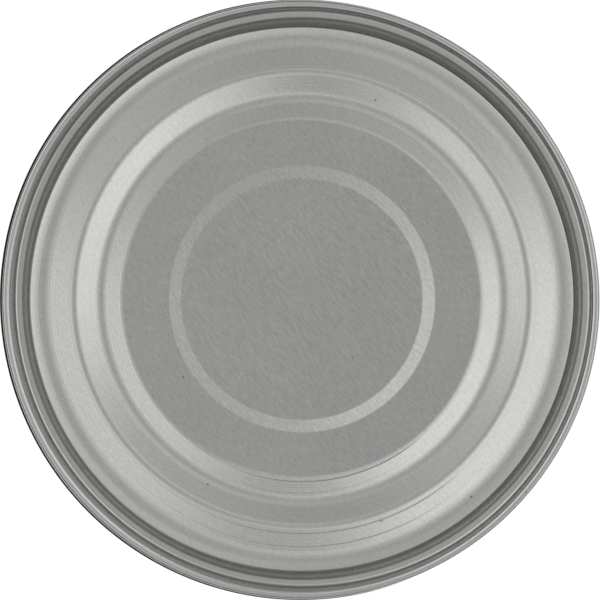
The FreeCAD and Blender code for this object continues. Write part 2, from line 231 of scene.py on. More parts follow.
def sheet_outline(path, thickness):
    """The outline of a sheet of constant thickness. It stays open on the axis and closes anywhere else."""
    near, far = rounded(path), rounded(shifted(path, thickness), math.radians(12))
    outline = near + far[::-1]
    return outline if path[0][0] == 0 else outline + near[:1]


# ---------------------------------------------------------------- node helpers and piece helpers


def add_node(tree, kind, inputs=None, **settings):
    """Adds a node with its settings. inputs maps a socket's name or index to a value or an output socket."""
    node = tree.nodes.new(kind)
    for name, value in settings.items():
        setattr(node, name, value)
    for key, value in (inputs or {}).items():
        if isinstance(value, bpy.types.NodeSocket):
            tree.links.new(value, node.inputs[key])
        else:
            node.inputs[key].default_value = value
    return node


def add_tree(name, sockets):
    """A Geometry Nodes tree with Geometry in and out and the named inputs, as (name, type, value)."""
    tree = bpy.data.node_groups.new(name, "GeometryNodeTree")
    tree.interface.new_socket("Geometry", in_out="INPUT", socket_type="NodeSocketGeometry")
    tree.interface.new_socket("Geometry", in_out="OUTPUT", socket_type="NodeSocketGeometry")
    for label, kind, value in sockets:
        socket = tree.interface.new_socket(label, in_out="INPUT", socket_type=kind)
        if value is not None:
            socket.default_value = value
    return tree, tree.nodes.new("NodeGroupInput"), tree.nodes.new("NodeGroupOutput")


def run_tree(mesh, tree, values):
    """A plain mesh: the tree's result on a mesh, with its inputs set by their sockets' identifiers."""
    carrier = bpy.data.objects.new("carrier", mesh)
    bpy.context.scene.collection.objects.link(carrier)
    modifier = carrier.modifiers.new("nodes", "NODES")
    modifier.node_group = tree
    sockets = {item.name: item.identifier for item in tree.interface.items_tree if item.in_out == "INPUT"}
    for label, value in values.items():
        modifier[sockets[label]] = value
    depsgraph = bpy.context.evaluated_depsgraph_get()
    result = bpy.data.meshes.new_from_object(carrier.evaluated_get(depsgraph), depsgraph=depsgraph)
    bpy.data.objects.remove(carrier)
    bpy.data.meshes.remove(mesh)
    return result


def volume_of(mesh):
    """The signed volume inside a closed mesh, negative if its faces point inwards."""
    mesh.calc_loop_triangles()
    corners = np.empty(len(mesh.loop_triangles) * 3, np.int32)
    mesh.loop_triangles.foreach_get("vertices", corners)
    places = np.empty(len(mesh.vertices) * 3, np.float32)
    mesh.vertices.foreach_get("co", places)
    a, b, c = places.reshape(-1, 3)[corners.reshape(-1, 3)].astype(float).transpose(1, 0, 2)
    return float(np.einsum("ij,ij->i", a, np.cross(b, c)).sum() / 6)


def add_piece(name, mesh, body, replaced):
    """Puts a finished mesh in the scene as a named piece that stands for CAD nodes and rides on a body."""
    mesh.name = name
    piece = bpy.data.objects.new(name, mesh)
    bpy.context.scene.collection.objects.link(piece)
    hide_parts(*replaced)
    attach(piece, body)
    return piece


def dress(node, material):
    """Gives a CAD node that keeps its own mesh a new material."""
    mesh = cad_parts[node].data
    mesh.materials.clear()
    mesh.materials.append(material)


def lathe_tree():
    """Spins an outline, given as a row of vertices at (radius, 0, z), round the Z axis."""
    tree, given, out = add_tree("Lathe", [
        ("Segments", "NodeSocketInt", 300),
        ("Outline points", "NodeSocketInt", 2),
        ("Waviness", "NodeSocketFloat", 0.0),
        ("Smallest gap", "NodeSocketFloat", 1e-7),
        ("Material", "NodeSocketMaterial", None),
    ])
    rows = add_node(tree, "ShaderNodeMath", {0: given.outputs["Segments"], 1: 1}, operation="ADD")
    grid = add_node(tree, "GeometryNodeMeshGrid", {
        "Size X": 1, "Size Y": 1, "Vertices X": rows.outputs[0],
        "Vertices Y": given.outputs["Outline points"]})
    index = add_node(tree, "GeometryNodeInputIndex")
    place = add_node(tree, "ShaderNodeMath", {
        0: index.outputs[0], 1: given.outputs["Outline points"]}, operation="MODULO")
    row = add_node(tree, "ShaderNodeMath", {
        0: index.outputs[0], 1: given.outputs["Outline points"]}, operation="DIVIDE")
    whole = add_node(tree, "ShaderNodeMath", {0: row.outputs[0]}, operation="FLOOR")
    share = add_node(tree, "ShaderNodeMath", {0: whole.outputs[0], 1: given.outputs["Segments"]},
                     operation="DIVIDE")
    angle = add_node(tree, "ShaderNodeMath", {0: share.outputs[0], 1: math.tau}, operation="MULTIPLY")
    position = add_node(tree, "GeometryNodeInputPosition")
    sample = add_node(tree, "GeometryNodeSampleIndex", {
        "Geometry": given.outputs["Geometry"], "Value": position.outputs[0], "Index": place.outputs[0]},
        data_type="FLOAT_VECTOR")
    spun = add_node(tree, "ShaderNodeVectorRotate", {
        "Vector": sample.outputs[0], "Angle": angle.outputs[0]}, rotation_type="Z_AXIS")
    shape = add_node(tree, "GeometryNodeSetPosition", {
        "Geometry": grid.outputs["Mesh"], "Position": spun.outputs[0]})
    closed = add_node(tree, "GeometryNodeMergeByDistance", {
        "Geometry": shape.outputs[0], "Distance": given.outputs["Smallest gap"]})
    noise = add_node(tree, "ShaderNodeTexNoise", {"Vector": position.outputs[0], "Scale": 55, "Detail": 1.5})
    centred = add_node(tree, "ShaderNodeMath", {0: noise.outputs[0], 1: 0.5}, operation="SUBTRACT")
    lift = add_node(tree, "ShaderNodeMath", {0: centred.outputs[0], 1: given.outputs["Waviness"]},
                    operation="MULTIPLY")
    offset = add_node(tree, "ShaderNodeCombineXYZ", {"Z": lift.outputs[0]})
    wavy = add_node(tree, "GeometryNodeSetPosition", {
        "Geometry": closed.outputs[0], "Offset": offset.outputs[0]})
    smooth = add_node(tree, "GeometryNodeSetShadeSmooth", {"Geometry": wavy.outputs[0]})
    real = add_node(tree, "GeometryNodeRealizeInstances", {"Geometry": smooth.outputs[0]})
    made = add_node(tree, "GeometryNodeSetMaterial", {
        "Geometry": real.outputs[0], "Material": given.outputs["Material"]})
    tree.links.new(made.outputs[0], out.inputs[0])
    return tree


def lathe(outline, material, waviness=0.0, sharp=math.radians(38), segments=0):
    """A closed, outward-facing mesh spun from an outline in millimetres."""
    rows = bpy.data.meshes.new("outline")
    rows.from_pydata([(p[0] * MM, 0, p[1] * MM) for p in outline], [], [])
    tree = bpy.data.node_groups.get("Lathe") or lathe_tree()
    mesh = run_tree(rows, tree, {
        "Segments": segments or bpy.context.scene.ball_can_sizes.turns,
        "Outline points": len(outline),
        "Waviness": waviness,
        "Material": material,
    })
    if volume_of(mesh) < 0:
        mesh.flip_normals()
    mesh.set_sharp_from_angle(angle=sharp)
    return mesh


# ---------------------------------------------------------------- materials


def new_material(name):
    """A material with an empty tree but for its Principled shader and output."""
    material = bpy.data.materials.new(name)
    material.use_nodes = True
    tree = material.node_tree
    tree.nodes.clear()
    shader = tree.nodes.new("ShaderNodeBsdfPrincipled")
    out = tree.nodes.new("ShaderNodeOutputMaterial")
    tree.links.new(shader.outputs[0], out.inputs[0])
    return material, tree, shader


def die_creases(tree, place, radius, die_worn, normal):
    """A normal with the creases, 0.2 mm wide, that the edges of the press tool leave round the beads. The
    tool sat a little to the -Y side, so they are deeper there."""
    across = add_node(tree, "ShaderNodeMapRange", {
        "Value": radius, "From Min": DIE_LINES_FROM, "From Max": DIE_LINES_TO})
    creases = add_node(tree, "ShaderNodeValToRGB", {0: across.outputs[0]})
    stops = creases.color_ramp.elements
    stops[0].color = stops[1].color = (1, 1, 1, 1)
    for middle, depth in DIE_LINES:
        for offset, level in ((-DIE_LINE_HALF, 1), (0, 1 - depth), (DIE_LINE_HALF, 1)):
            stop = stops.new((middle + offset - DIE_LINES_FROM) / (DIE_LINES_TO - DIE_LINES_FROM))
            stop.color = (level, level, level, 1)
    towards = add_node(tree, "ShaderNodeSeparateXYZ", {0: place})
    side = add_node(tree, "ShaderNodeMath", {0: towards.outputs[1], 1: radius},
                    operation="DIVIDE")
    crease_depth = add_node(tree, "ShaderNodeMapRange", {
        "Value": side.outputs[0], "From Min": -0.98, "From Max": -0.72,
        "To Min": 0.000055, "To Max": 0.000005})
    return add_node(tree, "ShaderNodeBump", {
        "Height": creases.outputs[0], "Strength": die_worn, "Distance": crease_depth.outputs[0],
        "Normal": normal}).outputs[0]


def tinplate(name, roughness, bead_start, die_worn):
    """Bright-finish electrolytic tinplate, cold rolled then pressed: a soft mirror with a fine straight
    rolling grain, a few pits, and rings where the die rubbed it, from bead_start outwards. A worn die also
    creases it."""
    if bpy.data.materials.get(name):
        return bpy.data.materials[name]
    material, tree, shader = new_material(name)
    plate = bpy.context.scene.ball_can_colours.plate
    shader.inputs["Metallic"].default_value = 1
    place = add_node(tree, "ShaderNodeTexCoord").outputs["Object"]
    # Rolling grain: scratches about 0.15 mm wide and 1 mm long, all one way.
    along = add_node(tree, "ShaderNodeMapping", {
        "Vector": place, "Rotation": (0, 0, math.radians(50)), "Scale": (1 / 900, 1 / 6500, 1 / 900)},
        vector_type="TEXTURE")
    fine = add_node(tree, "ShaderNodeTexNoise", {"Vector": along.outputs[0], "Scale": 1, "Detail": 3,
                                                 "Roughness": 0.6})
    # Tin crystals: a mottle of about 0.3 mm.
    mottle = add_node(tree, "ShaderNodeTexNoise", {"Vector": place, "Scale": 3400, "Detail": 2,
                                                   "Roughness": 0.7})
    clouds = add_node(tree, "ShaderNodeTexNoise", {"Vector": place, "Scale": 130, "Detail": 2})
    # Die marks: rings about 0.14 mm wide, only outside the flat panel.
    flat = add_node(tree, "ShaderNodeVectorMath", {0: place, 1: (1, 1, 0)}, operation="MULTIPLY")
    radius = add_node(tree, "ShaderNodeVectorMath", {0: flat.outputs[0]}, operation="LENGTH")
    rings = add_node(tree, "ShaderNodeTexNoise", {"W": radius.outputs["Value"], "Scale": 7000, "Detail": 2},
                     noise_dimensions="1D")
    on_beads = add_node(tree, "ShaderNodeMapRange", {
        "Value": radius.outputs["Value"], "From Min": bead_start, "From Max": bead_start + 0.0006})
    # Pits 0.2 mm across: in one 3 mm cell of six, and in half of them on the rubbed top of the seam.
    cells = add_node(tree, "ShaderNodeTexVoronoi", {"Vector": place, "Scale": 330}, feature="F1")
    near = add_node(tree, "ShaderNodeMapRange", {
        "Value": cells.outputs["Distance"], "From Min": 0.03, "From Max": 0.06, "To Min": 1, "To Max": 0})
    chance = add_node(tree, "ShaderNodeSeparateColor", {0: cells.outputs["Color"]})
    rubbed = add_node(tree, "ShaderNodeMapRange", {
        "Value": radius.outputs["Value"], "From Min": 0.0368, "From Max": 0.0372,
        "To Min": 0.84, "To Max": 0.45})
    chosen = add_node(tree, "ShaderNodeMath", {0: chance.outputs[0], 1: rubbed.outputs[0]},
                      operation="GREATER_THAN")
    pit = add_node(tree, "ShaderNodeMath", {0: near.outputs[0], 1: chosen.outputs[0]}, operation="MULTIPLY")
    # The press stretched the plate and rubbed most of the grain off the beads.
    darkest = add_node(tree, "ShaderNodeMapRange", {
        "Value": on_beads.outputs[0], "To Min": 0.76, "To Max": 0.91})
    tone = add_node(tree, "ShaderNodeMapRange", {
        "Value": fine.outputs[0], "From Min": 0.25, "From Max": 0.75, "To Min": darkest.outputs[0],
        "To Max": 1.02})
    cloudy = add_node(tree, "ShaderNodeMapRange", {
        "Value": mottle.outputs[0], "From Min": 0.25, "From Max": 0.75, "To Min": 0.92,
        "To Max": 1.04})
    grainy = add_node(tree, "ShaderNodeMath", {0: tone.outputs[0], 1: cloudy.outputs[0]},
                      operation="MULTIPLY")
    pitted = add_node(tree, "ShaderNodeMapRange", {"Value": pit.outputs[0], "To Min": 1, "To Max": 0.45})
    shade = add_node(tree, "ShaderNodeMath", {0: grainy.outputs[0], 1: pitted.outputs[0]},
                     operation="MULTIPLY")
    colour = add_node(tree, "ShaderNodeVectorMath", {0: tuple(plate[:3]), "Scale": shade.outputs[0]},
                      operation="SCALE")
    tree.links.new(colour.outputs[0], shader.inputs["Base Color"])
    gloss = add_node(tree, "ShaderNodeMapRange", {
        "Value": clouds.outputs[0], "From Min": 0.3, "From Max": 0.7,
        "To Min": roughness - 0.02, "To Max": roughness + 0.03})
    tree.links.new(gloss.outputs[0], shader.inputs["Roughness"])
    ring_height = add_node(tree, "ShaderNodeMath", {0: rings.outputs[0], 1: on_beads.outputs[0]},
                           operation="MULTIPLY")
    grain_left = add_node(tree, "ShaderNodeMapRange", {
        "Value": on_beads.outputs[0], "To Min": 0.25, "To Max": 0.06})
    scratch = add_node(tree, "ShaderNodeBump", {
        "Height": fine.outputs[0], "Strength": grain_left.outputs[0], "Distance": 0.000006})
    creased = die_creases(tree, place, radius.outputs["Value"], die_worn, scratch.outputs[0])
    # One knock on the base, 0.8 mm across, on the inner flank of the outer bead.
    knock = add_node(tree, "ShaderNodeVectorMath", {0: place, 1: BASE_KNOCK}, operation="DISTANCE")
    dent = add_node(tree, "ShaderNodeMapRange", {
        "Value": knock.outputs["Value"], "From Min": 0, "From Max": 0.0004}, interpolation_type="SMOOTHSTEP")
    dented = add_node(tree, "ShaderNodeBump", {
        "Height": dent.outputs[0], "Strength": 1.0, "Distance": 0.00012, "Normal": creased})
    ringed = add_node(tree, "ShaderNodeBump", {
        "Height": ring_height.outputs[0], "Strength": 0.2 + 0.3 * die_worn, "Distance": 0.000022,
        "Normal": dented.outputs[0]})
    tree.links.new(ringed.outputs[0], shader.inputs["Normal"])
    return material


def printed_tinplate():
    """Lithographed tinplate under clear varnish: flat inks with hard edges, bare plate beside the weld."""
    material, tree, shader = new_material("lithographed tinplate")
    colours, sizes = bpy.context.scene.ball_can_colours, bpy.context.scene.ball_can_sizes
    place = add_node(tree, "ShaderNodeTexCoord").outputs["Object"]
    split = add_node(tree, "ShaderNodeSeparateXYZ", {0: place})
    x, y, z = (split.outputs[i] for i in range(3))
    height = CAN_HEIGHT * MM

    def between(value, low, high):
        """1 where a value lies between two limits."""
        above = add_node(tree, "ShaderNodeMath", {0: value, 1: low}, operation="GREATER_THAN")
        below = add_node(tree, "ShaderNodeMath", {0: value, 1: high}, operation="LESS_THAN")
        return add_node(tree, "ShaderNodeMath", {0: above.outputs[0], 1: below.outputs[0]},
                        operation="MULTIPLY").outputs[0]

    def painted(under, over, mask):
        """One colour laid over another where the mask is 1."""
        return add_node(tree, "ShaderNodeMix", {0: mask, 6: under, 7: over}, data_type="RGBA").outputs[2]

    # Unrolled coordinate: distance round the body from the -Y side, where the ball device is centred.
    turned = add_node(tree, "ShaderNodeMath", {0: y, 1: -1}, operation="MULTIPLY")
    angle = add_node(tree, "ShaderNodeMath", {0: x, 1: turned.outputs[0]}, operation="ARCTAN2")
    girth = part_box("can_body")[1].x
    around = add_node(tree, "ShaderNodeMath", {0: angle.outputs[0], 1: girth},
                      operation="MULTIPLY").outputs[0]
    ink = painted(tuple(colours.field), tuple(colours.band), between(z, *FOOT_BAND))
    ink = painted(ink, tuple(colours.band), between(z, height - HEAD_BAND[1], height - HEAD_BAND[0]))
    for low in (FOOT_LINE, height - HEAD_LINE):
        ink = painted(ink, tuple(colours.ball), between(z, low, low + LINE_WIDTH))
    # Ball device: a disc with the two curves of a ball's seam, all plain circles.
    centre_z = height * 0.5
    for spin in DEVICE_TURNS:
        here = add_node(tree, "ShaderNodeMath", {0: around, 1: spin * math.tau * girth},
                        operation="SUBTRACT").outputs[0]
        drop = add_node(tree, "ShaderNodeMath", {0: z, 1: centre_z}, operation="SUBTRACT").outputs[0]

        def distance_to(dx, dz):
            """The distance from a point beside the device's centre."""
            point = add_node(tree, "ShaderNodeCombineXYZ", {0: here, 1: drop})
            return add_node(tree, "ShaderNodeVectorMath", {0: point.outputs[0], 1: (dx, dz, 0)},
                            operation="DISTANCE").outputs["Value"]

        disc = between(distance_to(0, 0), -1, DEVICE_RADIUS)
        ink = painted(ink, tuple(colours.ball), disc)
        for side in (-1, 1):
            arc = between(distance_to(side * CURVE_X, side * CURVE_Z), CURVE_INSIDE, CURVE_OUTSIDE)
            mask = add_node(tree, "ShaderNodeMath", {0: arc, 1: disc}, operation="MULTIPLY").outputs[0]
            ink = painted(ink, tuple(colours.band), mask)
    # Bare plate at both ends and along the weld, on the +Y side.
    beside_weld = add_node(tree, "ShaderNodeMath", {0: x}, operation="ABSOLUTE").outputs[0]
    near_weld = add_node(tree, "ShaderNodeMath", {0: beside_weld, 1: sizes.print_margin},
                         operation="LESS_THAN").outputs[0]
    behind = add_node(tree, "ShaderNodeMath", {0: y, 1: 0}, operation="GREATER_THAN").outputs[0]
    weld_strip = add_node(tree, "ShaderNodeMath", {0: near_weld, 1: behind}, operation="MULTIPLY").outputs[0]
    inside_ends = between(z, sizes.print_margin * 1.35, height - sizes.print_margin * 1.35)
    off_strip = add_node(tree, "ShaderNodeMath", {0: 1, 1: weld_strip}, operation="SUBTRACT").outputs[0]
    out_x = add_node(tree, "ShaderNodeVectorMath", {0: place, 1: (1, 1, 0)}, operation="MULTIPLY")
    reach = add_node(tree, "ShaderNodeVectorMath", {0: out_x.outputs[0]}, operation="LENGTH").outputs["Value"]
    outside = add_node(tree, "ShaderNodeMath", {0: reach, 1: girth - 0.0006},
                       operation="GREATER_THAN").outputs[0]
    outer_ends = add_node(tree, "ShaderNodeMath", {0: inside_ends, 1: outside},
                          operation="MULTIPLY").outputs[0]
    inked = add_node(tree, "ShaderNodeMath", {0: outer_ends, 1: off_strip}, operation="MULTIPLY").outputs[0]
    final = painted(tuple(colours.plate), ink, inked)
    tree.links.new(final, shader.inputs["Base Color"])
    bare = add_node(tree, "ShaderNodeMath", {0: 1, 1: inked}, operation="SUBTRACT").outputs[0]
    tree.links.new(bare, shader.inputs["Metallic"])
    speck = add_node(tree, "ShaderNodeTexNoise", {"Vector": place, "Scale": 900, "Detail": 3})
    gloss = add_node(tree, "ShaderNodeMapRange", {"Value": speck.outputs[0], "To Min": 0.24, "To Max": 0.36})
    tree.links.new(gloss.outputs[0], shader.inputs["Roughness"])
    shader.inputs["Coat Weight"].default_value = 0.6
    shader.inputs["Coat Roughness"].default_value = 0.08
    peel = add_node(tree, "ShaderNodeTexNoise", {"Vector": place, "Scale": 260, "Detail": 2})
    bump = add_node(tree, "ShaderNodeBump", {"Height": peel.outputs[0], "Strength": 0.25,
                                             "Distance": 0.00004})
    tree.links.new(bump.outputs[0], shader.inputs["Normal"])
    return material


def polyethylene():
    """Injection-moulded low-density polyethylene: milky, soft-looking, with faint flow marks and scuffs."""
    material, tree, shader = new_material("moulded polyethylene")
    cap = bpy.context.scene.ball_can_colours.cap
    place = add_node(tree, "ShaderNodeTexCoord").outputs["Object"]
    cloud = add_node(tree, "ShaderNodeTexNoise", {"Vector": place, "Scale": 60, "Detail": 3})
    tone = add_node(tree, "ShaderNodeMapRange", {"Value": cloud.outputs[0], "To Min": 0.94, "To Max": 1.0})
    colour = add_node(tree, "ShaderNodeVectorMath", {0: tuple(cap[:3]), "Scale": tone.outputs[0]},
                      operation="SCALE")
    tree.links.new(colour.outputs[0], shader.inputs["Base Color"])
    scuff = add_node(tree, "ShaderNodeTexNoise", {"Vector": place, "Scale": 700, "Detail": 4,
                                                  "Roughness": 0.7})
    gloss = add_node(tree, "ShaderNodeMapRange", {
        "Value": scuff.outputs[0], "From Min": 0.3, "From Max": 0.7, "To Min": 0.32, "To Max": 0.48})
    tree.links.new(gloss.outputs[0], shader.inputs["Roughness"])
    shader.inputs["IOR"].default_value = 1.51
    shader.inputs["Subsurface Weight"].default_value = 0.25
    shader.inputs["Subsurface Radius"].default_value = (0.002, 0.002, 0.0018)
    bump = add_node(tree, "ShaderNodeBump", {"Height": scuff.outputs[0], "Strength": 0.3,
                                             "Distance": 0.00003})
    tree.links.new(bump.outputs[0], shader.inputs["Normal"])
    return material


def ball_felt():
    """Needled wool and nylon felt, napped: no gloss at all, mottled by its fibres, lighter at the tips."""
    material, tree, shader = new_material("napped wool felt")
    felt = bpy.context.scene.ball_can_colours.felt
    place = add_node(tree, "ShaderNodeTexCoord").outputs["Object"]
    # Fibre clumps of about 0.8 mm over tufts of 4 mm.
    clumps = add_node(tree, "ShaderNodeTexNoise", {"Vector": place, "Scale": 1300, "Detail": 4,
                                                   "Roughness": 0.65})
    tufts = add_node(tree, "ShaderNodeTexNoise", {"Vector": place, "Scale": 240, "Detail": 2})
    mottled = add_node(tree, "ShaderNodeMath", {0: clumps.outputs[0], 1: tufts.outputs[0]}, operation="ADD")
    tone = add_node(tree, "ShaderNodeMapRange", {
        "Value": mottled.outputs[0], "From Min": 0.7, "From Max": 1.3, "To Min": 0.62, "To Max": 1.12})
    colour = add_node(tree, "ShaderNodeVectorMath", {0: tuple(felt[:3]), "Scale": tone.outputs[0]},
                      operation="SCALE")
    tree.links.new(colour.outputs[0], shader.inputs["Base Color"])
    shader.inputs["Roughness"].default_value = 0.95
    shader.inputs["Specular IOR Level"].default_value = 0.2
    shader.inputs["Sheen Weight"].default_value = 0.35
    shader.inputs["Sheen Roughness"].default_value = 0.5
    bump = add_node(tree, "ShaderNodeBump", {"Height": clumps.outputs[0], "Strength": 0.8,
                                             "Distance": 0.0003})
    tree.links.new(bump.outputs[0], shader.inputs["Normal"])
    return material


def moulded_rubber(name, colour, grain_mm):
    """Moulded rubber: matt, slightly uneven in tone, with a fine pebbled skin."""
    material, tree, shader = new_material(name)
    place = add_node(tree, "ShaderNodeTexCoord").outputs["Object"]
    skin = add_node(tree, "ShaderNodeTexNoise", {"Vector": place, "Scale": 1 / (grain_mm * MM), "Detail": 3})
    tone = add_node(tree, "ShaderNodeMapRange", {"Value": skin.outputs[0], "To Min": 0.8, "To Max": 1.08})
    shade = add_node(tree, "ShaderNodeVectorMath", {0: tuple(colour[:3]), "Scale": tone.outputs[0]},
                     operation="SCALE")
    tree.links.new(shade.outputs[0], shader.inputs["Base Color"])
    shader.inputs["Roughness"].default_value = 0.72
    shader.inputs["IOR"].default_value = 1.52
    bump = add_node(tree, "ShaderNodeBump", {"Height": skin.outputs[0], "Strength": 0.5,
                                             "Distance": 0.1 * grain_mm * MM})
    tree.links.new(bump.outputs[0], shader.inputs["Normal"])
    return material


# ---------------------------------------------------------------- the can


def seam_layers(sizes):
    """Radii of the double seam's layers: body hook outside, cover hook inside, body inside and chuck wall."""
    plate, body, gap = sizes.end_plate / MM, sizes.body_plate / MM, sizes.layer_gap / MM
    body_hook = SEAM_RADIUS - plate - gap
    cover_hook = body_hook - body - gap - plate
    body_inside = cover_hook - gap - body
    return body_hook, cover_hook, body_inside, body_inside - gap - plate


def seamed_edge(sizes):
    """The path from the countersink's floor over the double seam to the tip of the cover hook."""
    cover_hook, chuck_wall = seam_layers(sizes)[1::2]
    return [
        (36.72, sizes.countersink / MM, 0.42),
        (36.88, 2.90, 1.5),
        (chuck_wall, 0, CROWN_ROUND),
        (SEAM_RADIUS, 0, CROWN_ROUND),
        (SEAM_RADIUS, SEAM_HEIGHT, 0.33),
        (cover_hook, SEAM_HEIGHT, 0.33),
        (cover_hook, COVER_HOOK_END, 0),
    ]


def at_top(outline):
    """An outline made with depths below a crown at z = 0, put at the top of the can."""
    return [Vector((r, CAN_HEIGHT - z)) for r, z in outline]


class BALLCAN_OT_bottom_end(bpy.types.Operator):
    """Adds the stamped base with its beads, countersink and the outer wall of the lower double seam"""

    bl_idname = "ball_can.bottom_end"
    bl_label = "Bottom End"

    def execute(self, context):
        sizes = context.scene.ball_can_sizes
        path = [
            (0, DISC_DEPTH, 0),
            (sizes.centre_radius / MM, DISC_DEPTH, 0.9),
            (sizes.step_radius / MM, FLAT_DEPTH, 0.9),
            (sizes.panel_radius / MM, FLAT_DEPTH, 2.0),
            (sizes.inner_bead / MM, INNER_BEAD_DEPTH, 2.4),
            (sizes.trough / MM, TROUGH_DEPTH, 1.6),
            (sizes.outer_bead / MM, OUTER_BEAD_DEPTH, 4.0),
            (34.65, 2.50, 0.5),
            (35.80, sizes.countersink / MM, 0.30),
        ]
        outline = sheet_outline(path + seamed_edge(sizes), sizes.end_plate / MM)
        mesh = lathe(outline, tinplate(*BASE_METAL), sizes.waviness)
        add_piece("base_plate", mesh, "can", ["bottom_end"])
        return {"FINISHED"}


class BALLCAN_OT_can_body(bpy.types.Operator):
    """Adds the printed body, rolled from one sheet and welded down one side"""

    bl_idname = "ball_can.can_body"
    bl_label = "Can Body"

    def execute(self, context):
        sizes = context.scene.ball_can_sizes
        low = (sizes.end_plate + sizes.layer_gap) / MM
        high = CAN_HEIGHT - low
        hook_outside, _, inside, _ = seam_layers(sizes)
        hook = (hook_outside - inside) / 2 - 0.005
        path = [
            (hook_outside, BODY_HOOK_END, 0),
            (hook_outside, low, hook),
            (inside, low, hook),
            (inside, high, hook),
            (hook_outside, high, hook),
            (hook_outside, CAN_HEIGHT - BODY_HOOK_END, 0),
        ]
        print_finish = printed_tinplate()
        tube = lathe(sheet_outline(path, -sizes.body_plate / MM), print_finish)
        outside = inside + sizes.body_plate / MM
        section = [(-0.40, outside - 0.05), (0.40, outside - 0.05), (0.32, outside + 0.07),
                   (0, outside + 0.08), (-0.32, outside + 0.07)]
        lap = [(x, y, z) for z in (WELD_END, CAN_HEIGHT - WELD_END) for x, y in section]
        sides = [[i, (i + 1) % 5, (i + 1) % 5 + 5, i + 5] for i in range(5)]
        weld = new_mesh(lap, sides + [[4, 3, 2, 1, 0], [5, 6, 7, 8, 9]])
        mesh = joined([tube, weld], print_finish)
        add_piece("printed_body", mesh, "can", ["can_body"])
        return {"FINISHED"}


class BALLCAN_OT_top_end_ring(bpy.types.Operator):
    """Adds the ring of the top end that stays on the can, with the upper double seam and the scored lip"""

    bl_idname = "ball_can.top_end_ring"
    bl_label = "Top End Ring"

    def execute(self, context):
        sizes = context.scene.ball_can_sizes
        path = [(34.60, PANEL_DEPTH, 0), (35.05, PANEL_DEPTH, 0.30), (35.45, sizes.countersink / MM, 0.30)]
        outline = at_top(sheet_outline(path + seamed_edge(sizes), sizes.end_plate / MM))
        mesh = lathe(outline, tinplate(*TOP_METAL))
        add_piece("top_rim", mesh, "can", ["top_end_ring"])
        return {"FINISHED"}


class BALLCAN_OT_seam_compound(bpy.types.Operator):
    """Finishes the two sealing rings that lie inside the double seams"""

    bl_idname = "ball_can.seam_compound"
    bl_label = "Seam Compound"

    def execute(self, context):
        rubber = moulded_rubber("sealing rubber", context.scene.ball_can_colours.compound, 0.3)
        for node in ("bottom_seam_compound", "top_seam_compound"):
            dress(node, rubber)
        return {"FINISHED"}


def smooth_between(value, low, high):
    """0 below low, 1 above high, and a smooth rise between, for numpy arrays."""
    share = np.clip((value - low) / (high - low), 0, 1)
    return share * share * (3 - 2 * share)


def tear_panel_mesh(plate):
    """The scored panel: a stiffening groove near its edge, a finger well under the ring and a score lip."""
    rings = np.concatenate([
        np.arange(0.4, 18.0, 0.4), np.arange(18.0, 28.8, 0.9), np.arange(28.8, 31.8, 0.15),
        np.arange(31.8, PANEL_EDGE - 0.5, 0.5), np.linspace(PANEL_EDGE - 0.4, PANEL_EDGE, 5)])
    angles = np.arange(180) * math.tau / 180
    radius, angle = np.meshgrid(rings, angles, indexing="ij")
    x, y = radius * np.cos(angle), radius * np.sin(angle)
    surface = CAN_HEIGHT - PANEL_DEPTH
    top = surface - GROOVE_DEPTH * (1 - smooth_between(abs(radius - GROOVE_RADIUS), 0.25, 1.15))
    top -= WELL_DEPTH * (1 - smooth_between(np.hypot(x - RING_X, y), WELL_FLOOR, WELL_RIM))
    top -= 0.04 * smooth_between(radius, PANEL_EDGE - 0.25, PANEL_EDGE)
    well = surface - WELL_DEPTH * (1 - smooth_between(RING_X, WELL_FLOOR, WELL_RIM))
    verts = [(0, 0, well), (0, 0, well - plate)]
    for level in (top, top - plate):
        verts += list(zip(x.ravel(), y.ravel(), level.ravel()))
    count, across = len(rings), len(angles)
    faces = []
    for layer in (0, 1):
        first = 2 + layer * count * across
        for j in range(across):
            k = (j + 1) % across
            faces.append(flipped([layer, first + j, first + k], layer))
            for i in range(count - 1):
                near, far = first + i * across, first + (i + 1) * across
                faces.append(flipped([near + j, far + j, far + k, near + k], layer))
    upper, lower = 2 + (count - 1) * across, 2 + (2 * count - 1) * across
    for j in range(across):
        k = (j + 1) % across
        faces.append([upper + j, lower + j, lower + k, upper + k])
    return new_mesh(verts, faces)


def flipped(face, turn_over):
    """A face's corners, in the other order if it is to be turned over."""
    return face[::-1] if turn_over else face


def new_mesh(verts, faces):
    """A mesh in metres from corners in millimetres."""
    mesh = bpy.data.meshes.new("part")
    mesh.from_pydata([(x * MM, y * MM, z * MM) for x, y, z in verts], [], faces)
    return mesh


def joined(meshes, material, sharp=math.radians(40)):
    """One outward-facing mesh out of several closed ones."""
    whole = bmesh.new()
    for mesh in meshes:
        if volume_of(mesh) < 0:
            mesh.flip_normals()
        whole.from_mesh(mesh)
        bpy.data.meshes.remove(mesh)
    for face in whole.faces:
        face.smooth = True
        face.material_index = 0
    result = bpy.data.meshes.new("joined")
    whole.to_mesh(result)
    whole.free()
    result.materials.clear()
    result.materials.append(material)
    result.set_sharp_from_angle(angle=sharp)
    return result


def bead_along(loop, radius, level, sides=14):
    """A closed round bead along a level loop of (x, y) points."""
    verts, faces = [], []
    count = len(loop)
    for i, (x, y) in enumerate(loop):
        before, after = loop[i - 1], loop[(i + 1) % count]
        along = Vector((after[0] - before[0], after[1] - before[1])).normalized()
        for j in range(sides):
            turned = math.tau * j / sides
            out = radius * math.cos(turned)
            verts.append((x + along.y * out, y - along.x * out, level + radius * math.sin(turned)))
            here, ahead = i * sides, (i + 1) % count * sides
            k = (j + 1) % sides
            faces.append([here + j, ahead + j, ahead + k, here + k])
    return new_mesh(verts, faces)


